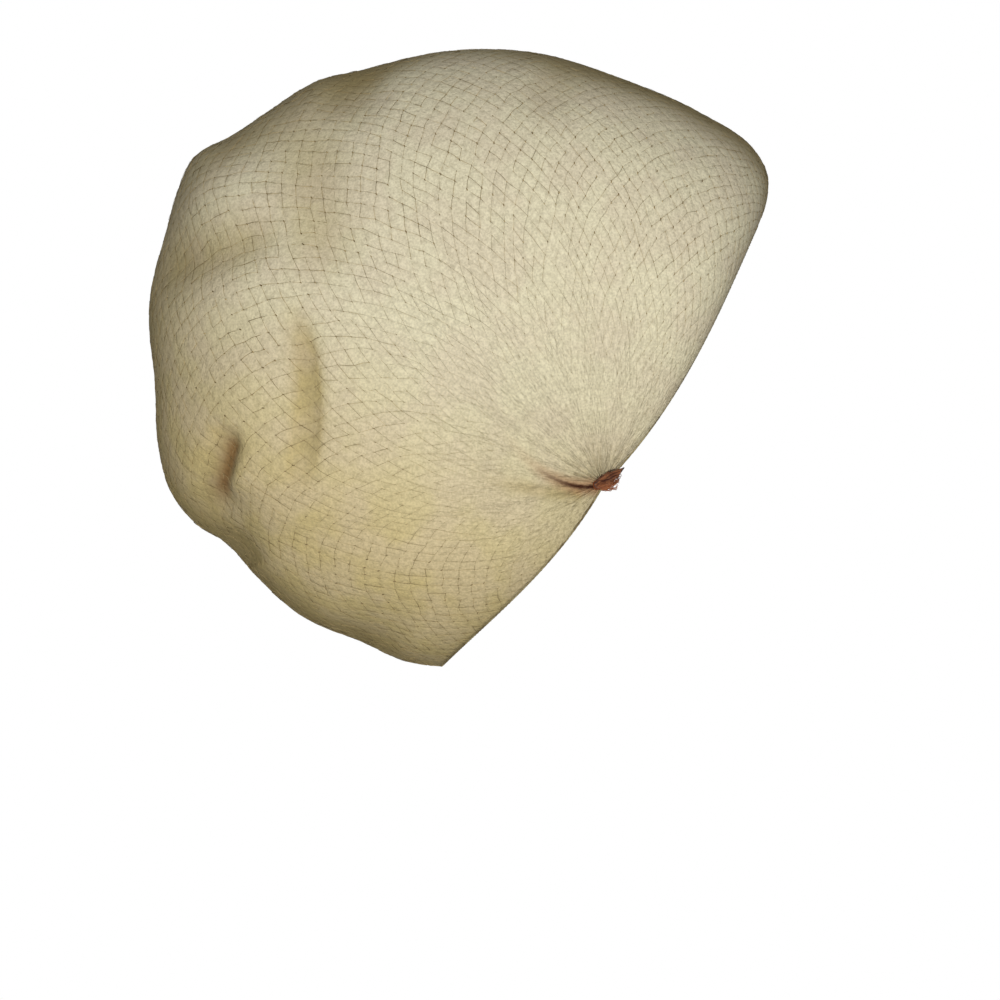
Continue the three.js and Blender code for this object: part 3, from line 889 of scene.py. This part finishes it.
def bunch_loops(side, chance):
    """Loose loops of thread that stand out of a bunch.

    Each leaves the neck, runs out to a tip and comes back beside itself: for t from 0 to 1, its
    distance from the neck is its length times a power of sin(pi t), and its place across its own
    line is its girth times sin(2 pi t). A little random shake grows away from the neck.
    """
    t = np.linspace(0, 1, LOOP_STATIONS)[None, :]
    count = BUNCH_LOOPS
    spread = chance.triangular(LOOPS_LOWEST, LOOPS_USUAL, LOOPS_HIGHEST, (count, 1))
    level = chance.uniform(-1, 1, (count, 1))
    length = chance.uniform(*LOOP_LENGTHS, (count, 1)) + LOOPS_SLANT * spread
    girth = chance.uniform(*LOOP_GIRTHS, (count, 1))
    out = np.sin(np.pi * t) ** LOOP_POWER * length
    middle = bunch_line(np.clip(out, 0, 1), 1)
    opened = rise(LOOPS_OPEN, 1, out)
    offset = spread * BUNCH_SPREAD * LOOPS_FAN * opened
    offset = offset + BUNCH_LENGTH * girth * np.sin(2 * np.pi * t)
    points = middle + offset[..., None] * bunch_wide()
    points[..., 1] += level * (LOOP_NECK_DEPTH + LOOP_TIP_DEPTH * opened)
    shake = LOOP_SHAKE * rise(0, LOOP_SHAKE_FULL, out)
    points = points + shake[..., None] * chance.normal(0, 1, points.shape)
    points = points * np.array([1, side, 1])
    outwards = np.broadcast_to(np.array([0.0, side, 0.0]), points.shape)
    radii = np.full(points.shape[:2], LOOP_RADIUS) * chance.uniform(*LOOP_RADII, (count, 1))
    return tubes(points, outwards, radii, THREAD_SIDES)


def binding_coil(side, wire, chance):
    """Wound thread round a neck: a helix of BINDING_TURNS turns whose radius wanders a little."""
    t = np.linspace(0, 1, BINDING_STATIONS)
    a = 2 * np.pi * BINDING_TURNS * t
    wander = BINDING_WANDER * chance.uniform(-1, 1, t.shape)
    radius = NECK_RADIUS + wire / 2 + wire * (BINDING_WAVE * np.sin(BINDING_WAVES * a) + wander)
    x, y, z = BUNCH_ROOT
    out = side * (y + BINDING_OUT + wire * BINDING_TURNS * BINDING_PITCH * (t - 0.5))
    points = np.stack([x + radius * np.cos(a), out, z + radius * np.sin(a)], axis=-1)
    outwards = np.stack([np.cos(a), np.zeros_like(a), np.sin(a)], axis=-1)
    return tubes(points[None], outwards[None], np.full((1, len(t)), wire / 2), BINDING_SIDES)


def rim_path(share, row, sizes):
    """The elastic's middle line, with the directions away from the rim's edge and outwards.

    It lies half its own width beyond the edge, and half the cloth's thickness in from its outside.
    """
    along, _, outwards = cloth_axes(share, row, 0.0)
    away = along * np.where(share < 0.5, -1, 1)[..., None]
    points = cloth(share, row, 0.0)[0] + sizes.rim / 2 * away
    return points - sizes.cloth_thickness / 2 * outwards, away, outwards


def size_setting(name, description, default):
    """A length that a user can change."""
    return FloatProperty(name=name, description=description, default=default, unit="LENGTH")


def colour_setting(name, description, default):
    """A colour that a user can change."""
    return FloatVectorProperty(name=name, description=description, default=default, subtype="COLOR")


class HairnetSizes(bpy.types.PropertyGroup):
    cloth_thickness: size_setting("Cloth thickness", "Thickness of the cloth", 0.0007)
    pleat_height: size_setting("Pleat height", "Height of the pleats round the ears", 0.0018)
    thread: size_setting("Thread", "Diameter of the net's threads", 0.00018)
    knot: size_setting("Knot", "Width of the net's knots", 0.00046)
    rim: size_setting("Rim", "Diameter of the elastic in the rim", 0.0008)
    binding: size_setting("Binding", "Diameter of the thread wound round a bunch", 0.0004)


class HairnetColours(bpy.types.PropertyGroup):
    cloth: colour_setting("Cloth", "Main colour of the cloth", (0.785, 0.73, 0.532))
    # A darker, warmer colour: painted shade low at the back and in the folds
    warm_and_shade: colour_setting("Warm", "Colour low at the back and in folds", (0.62, 0.505, 0.238))
    tint: colour_setting("Tint", "Slight clouds in the cloth's colour", (0.68, 0.56, 0.44))
    # Dark line of painted shade along the fold into a gather
    seam: colour_setting("Seam", "Line of the fold into a gather", (0.05, 0.012, 0.006))
    # Colour of the painted shade in the deepest fold
    fold: colour_setting("Fold", "Deepest fold, low at the back", (0.20, 0.10, 0.03))
    # Colour of the painted shade along the middle plane
    crest: colour_setting("Crest", "Colour along the middle plane", (0.34, 0.265, 0.11))
    shade: colour_setting("Shade", "Colour deep in folds and under threads", (0.20, 0.16, 0.08))
    thread: colour_setting("Thread", "Colour of the net's threads", (0.46, 0.355, 0.175))
    thread_dark: colour_setting("Dark thread", "Darker strands of the net", (0.14, 0.10, 0.042))
    rim: colour_setting("Rim", "Cover of the elastic", (0.36, 0.30, 0.16))
    bunch: colour_setting("Bunch", "Lower part of the bunches", (0.28, 0.08, 0.024))
    bunch_light: colour_setting("Light bunch", "Light fibres of the bunches", (0.47, 0.185, 0.072))
    binding: colour_setting("Binding", "Colour of the wound thread", (0.05, 0.012, 0.006))


class HairnetCloth(bpy.types.Operator):
    """Add the cloth"""

    bl_idname = "hairnet.cloth"
    bl_label = "Cloth"

    def execute(self, context):
        sizes = context.scene.hairnet_sizes
        share, row = np.meshgrid(
            np.linspace(0, 1, CLOTH_ALONG + 1), np.linspace(-1, 1, CLOTH_ACROSS + 1), indexing="ij"
        )
        points, reach, creases = cloth(share, row, sizes.pleat_height)
        faces = grid_faces(CLOTH_ALONG + 1, CLOTH_ACROSS + 1)
        finish = cloth_finish(context.scene.hairnet_colours)
        piece = new_piece("cloth", points, faces, "cap_cloth", finish, ["cap_body"])
        facts = {
            "net_u": cell_count(share, row),
            "net_v": CELLS_ACROSS * (row + 1) / 2,
            "crease": np.max([creases[name] * strength for name, strength in CREASES], axis=0),
            "fold": creases["nape_fold"] ** FOLD_POWER,
            "gather": np.exp(-reach / GATHER_REACH),
            # Painted shade along the middle plane
            "crest": crest_shade_share(share, np.abs(points[..., 1])),
            # Painted shade near both rims, where the cloth turns under
            "edge": np.exp(-np.minimum(share, 1 - share) * RIM_SWEEP * reach / EDGE_REACH),
        }
        for name, values in facts.items():
            attribute = piece.data.attributes.new(name, "FLOAT", "POINT")
            attribute.data.foreach_set("value", values.ravel())
        wall = piece.modifiers.new("wall", "SOLIDIFY")
        wall.thickness = sizes.cloth_thickness
        wall.offset = -1
        return {"FINISHED"}


class HairnetNet(bpy.types.Operator):
    """Add the knotted net over the cloth"""

    bl_idname = "hairnet.net"
    bl_label = "Net"

    def execute(self, context):
        sizes, colours = context.scene.hairnet_sizes, context.scene.hairnet_colours
        chance = np.random.default_rng(SEED)
        share, row = net_knots(chance)
        finish = thread_finish("net_thread", colours.thread, colours.thread_dark)
        t = np.linspace(0, 1, THREAD_STATIONS)
        for name, rising in (("rising_threads", True), ("falling_threads", False)):
            ends = [end[:, None] for end in net_edges(share, row, rising)]
            slack = THREAD_SLACK * chance.uniform(-1, 1, ends[0].shape) * np.sin(np.pi * t)
            shares = np.clip(ends[0] * (1 - t) + ends[2] * t + slack, 0, 1)
            rows = ends[1] * (1 - t) + ends[3] * t
            points = cloth(shares, rows, sizes.pleat_height)[0]
            outwards = cloth_axes(shares, rows, sizes.pleat_height)[2]
            thinning = thread_thinning(shares, rows, sizes.pleat_height)
            lift = chance.uniform(-1, 1, ends[0].shape) + chance.uniform(-1, 1, shares.shape)
            points = points + (THREAD_LIFT * lift * thinning)[..., None] * outwards
            radii = sizes.thread / 2 * thinning * chance.uniform(*THREAD_SIZES, ends[0].shape)
            threads = tubes(points, outwards, radii, THREAD_SIDES)
            new_piece(name, *threads, "dark_thread", finish)
        knotted = thread_finish("net_knot", colours.thread_dark, colours.thread)
        self.add_knots(share, row, sizes, chance, knotted)
        return {"FINISHED"}

    def add_knots(self, share, row, sizes, chance, finish):
        """A double cone of six sides at each crossing, drawn out from ear to ear.

        Its axis has the cloth's outward direction, with a tip on each side of the cloth.
        """
        i, j = np.indices(share.shape)
        chosen = ((i + j) % 2 == 0) & (np.abs(row) < INSIDE)
        share, row = np.clip(share[chosen], 0, 1), row[chosen]
        centre = cloth(share, row, sizes.pleat_height)[0]
        along, sideways, outwards = cloth_axes(share, row, sizes.pleat_height)
        width = cell_width(share, row, sizes.pleat_height)
        radius = sizes.knot / 2 * np.clip(width / WIDE_CELL, THINNEST, 1)
        radius = (radius * chance.uniform(*KNOT_SIZES, share.shape))[:, None, None]
        a = (np.arange(KNOT_SIDES) * 2 * np.pi / KNOT_SIDES)[:, None]
        spokes = np.cos(a) * along[:, None] + KNOT_LENGTH * np.sin(a) * sideways[:, None]
        tips = KNOT_HEIGHT * np.stack([outwards, -outwards], axis=1)
        points = centre[:, None] + radius * np.concatenate([spokes, tips], axis=1)
        top = fan(0, KNOT_SIDES, KNOT_SIDES)
        bottom = fan(0, KNOT_SIDES, KNOT_SIDES + 1)[:, ::-1]
        one = np.concatenate([top, bottom])
        faces = one[None] + np.arange(len(points))[:, None, None] * (KNOT_SIDES + 2)
        new_piece("knots", points, faces.reshape(-1, 3), "dark_thread", finish)


class HairnetRim(bpy.types.Operator):
    """Add the covered elastic round the rim and the net loops that hold it"""

    bl_idname = "hairnet.rim"
    bl_label = "Rim"

    def execute(self, context):
        sizes, colours = context.scene.hairnet_sizes, context.scene.hairnet_colours
        chance = np.random.default_rng(SEED + 1)
        finish = thread_finish("rim_thread", colours.rim, colours.thread_dark)
        row = np.linspace(-1, 1, RIM_STATIONS)
        shares = np.repeat([0.0, 1.0], RIM_STATIONS)
        rows = np.concatenate([row, row[::-1]])
        centres, _, outwards = rim_path(shares, rows, sizes)
        radii = sizes.rim / 2 * (1 + RIM_COVER * np.cos(np.pi * np.arange(len(rows))))
        cord = tubes(centres[None], outwards[None], radii[None], RIM_SIDES, closed=True)
        new_piece("rim_elastic", *cord, "dark_thread", finish, ["edge_elastic"])
        self.add_loops(sizes, chance, finish)
        self.declare_cloth()
        return {"FINISHED"}

    def add_loops(self, sizes, chance, finish):
        """Threads that run off the cloth and round the elastic, as arcs in its cross section."""
        rows = np.tile(np.linspace(-RIM_LOOP_END, RIM_LOOP_END, RIM_LOOPS), 2)
        rows = rows + RIM_LOOP_WANDER / RIM_LOOPS * chance.uniform(-1, 1, rows.shape)
        shares = np.repeat([0.0, 1.0], RIM_LOOPS)
        centres, away, outwards = rim_path(shares, rows, sizes)
        a = (np.linspace(-RIM_LOOP_ARC, RIM_LOOP_ARC, RIM_LOOP_STATIONS) * np.pi)[:, None]
        radius = sizes.rim / 2 + sizes.thread * RIM_LOOP_GAP
        spokes = np.cos(a) * away[:, None] + np.sin(a) * outwards[:, None]
        points = centres[:, None] + radius * spokes
        sideways = unit(np.cross(away, outwards))[:, None] + np.zeros_like(points)
        radii = np.full(points.shape[:2], sizes.thread / 2)
        loops = tubes(points, sideways, radii, THREAD_SIDES)
        new_piece("rim_loops", *loops, "dark_thread", finish)

    def declare_cloth(self):
        """Does nothing. The cloth is one sheet, held out in its worn shape, with the net and rim sewn to
        it.
        """


class HairnetGathers(bpy.types.Operator):
    """Add the bunch of net and its wound thread at each ear"""

    bl_idname = "hairnet.gathers"
    bl_label = "Gathers"

    def execute(self, context):
        sizes, colours = context.scene.hairnet_sizes, context.scene.hairnet_colours
        bunched = bunch_finish(colours)
        wound = thread_finish("binding_thread", colours.binding, colours.bunch)
        for number, (name, side) in enumerate(SIDES):
            chance = np.random.default_rng(SEED + 2 + number)
            node = f"ear_gather_{name}"
            new_piece(f"bunch_{name}", *bunch_surface(side), "gather_cloth", bunched, [node])
            new_piece(f"bunch_loops_{name}", *bunch_loops(side, chance), "gather_cloth", bunched)
            coil = binding_coil(side, sizes.binding, chance)
            new_piece(f"binding_{name}", *coil, "binding_thread", wound, [f"gather_binding_{name}"])
        return {"FINISHED"}


class HairnetStage(bpy.types.Operator):
    """Add the floor, the lights and the camera"""

    bl_idname = "hairnet.stage"
    bl_label = "Stage"

    def execute(self, context):
        scene = context.scene
        self.add_floor(scene)
        for name, place, width, power, colour in LIGHTS:
            light = bpy.data.lights.new(name, "AREA")
            light.size, light.energy, light.color = width, power, colour
            lamp = bpy.data.objects.new(name, light)
            lamp.location = place
            aim = Vector(LIGHTS_AIM) - lamp.location
            lamp.rotation_euler = aim.to_track_quat("-Z", "Y").to_euler()
            scene.collection.objects.link(lamp)
        self.set_world(scene)
        camera = bpy.data.cameras.new("camera")
        camera.sensor_width = CAMERA_SENSOR
        camera.lens = CAMERA_SENSOR * CAMERA_DISTANCE / FRAME_WIDTH
        viewer = bpy.data.objects.new("camera", camera)
        viewer.location = (FRAME_MIDDLE[0], -CAMERA_DISTANCE, FRAME_MIDDLE[1])
        viewer.rotation_euler = (math.pi / 2, 0, 0)
        scene.collection.objects.link(viewer)
        scene.camera = viewer
        scene.view_settings.view_transform = "Standard"
        return {"FINISHED"}

    def add_floor(self, scene):
        """A flat disc: one face with many corners."""
        a = np.linspace(0, 2 * np.pi, FLOOR_SIDES, endpoint=False)
        height = np.full_like(a, FLOOR_HEIGHT)
        points = np.stack([FLOOR_RADIUS * np.cos(a), FLOOR_RADIUS * np.sin(a), height], axis=-1)
        mesh = bpy.data.meshes.new("floor")
        mesh.from_pydata(points.tolist(), [], [list(range(FLOOR_SIDES))])
        mesh.materials.append(floor_finish())
        floor = bpy.data.objects.new("floor", mesh)
        scene.collection.objects.link(floor)

    def set_world(self, scene):
        """Dim light from all round, with a background that looks white itself."""
        world = bpy.data.worlds.new("studio")
        world.use_nodes = True
        nodes, links = world.node_tree.nodes, world.node_tree.links
        seen = nodes.new("ShaderNodeBackground")
        seen.inputs["Color"].default_value = BACKDROP_COLOUR
        path = nodes.new("ShaderNodeLightPath")
        mix = nodes.new("ShaderNodeMixShader")
        glow = nodes["Background"]
        glow.inputs["Color"].default_value = AMBIENT_COLOUR
        glow.inputs["Strength"].default_value = AMBIENT
        links.new(path.outputs["Is Camera Ray"], mix.inputs["Fac"])
        for socket, background in zip(mix.inputs[1:], (glow, seen)):
            links.new(background.outputs["Background"], socket)
        links.new(mix.outputs["Shader"], nodes["World Output"].inputs["Surface"])
        scene.world = world


class HairnetPanel(bpy.types.Panel):
    bl_idname = "VIEW3D_PT_hairnet"
    bl_label = "Hairnet"
    bl_space_type = "VIEW_3D"
    bl_region_type = "UI"
    bl_category = "Hairnet"

    def draw(self, context):
        for group in (context.scene.hairnet_sizes, context.scene.hairnet_colours):
            box = self.layout.box()
            for name in group.__annotations__:
                box.prop(group, name)
        for operator in OPERATORS:
            self.layout.operator(operator.bl_idname)


GROUPS = (("hairnet_sizes", HairnetSizes), ("hairnet_colours", HairnetColours))
OPERATORS = (HairnetCloth, HairnetNet, HairnetRim, HairnetGathers, HairnetStage)


def register():
    for name, group in GROUPS:
        bpy.utils.register_class(group)
        setattr(bpy.types.Scene, name, PointerProperty(type=group))
    for cls in (*OPERATORS, HairnetPanel):
        bpy.utils.register_class(cls)


def unregister():
    for cls in (HairnetPanel, *reversed(OPERATORS)):
        bpy.utils.unregister_class(cls)
    for name, group in reversed(GROUPS):
        delattr(bpy.types.Scene, name)
        bpy.utils.unregister_class(group)


def main():
    register()
    bpy.ops.hairnet.cloth()
    bpy.ops.hairnet.net()
    bpy.ops.hairnet.rim()
    bpy.ops.hairnet.gathers()
    bpy.ops.hairnet.stage()


if __name__ == "__main__":
    main()
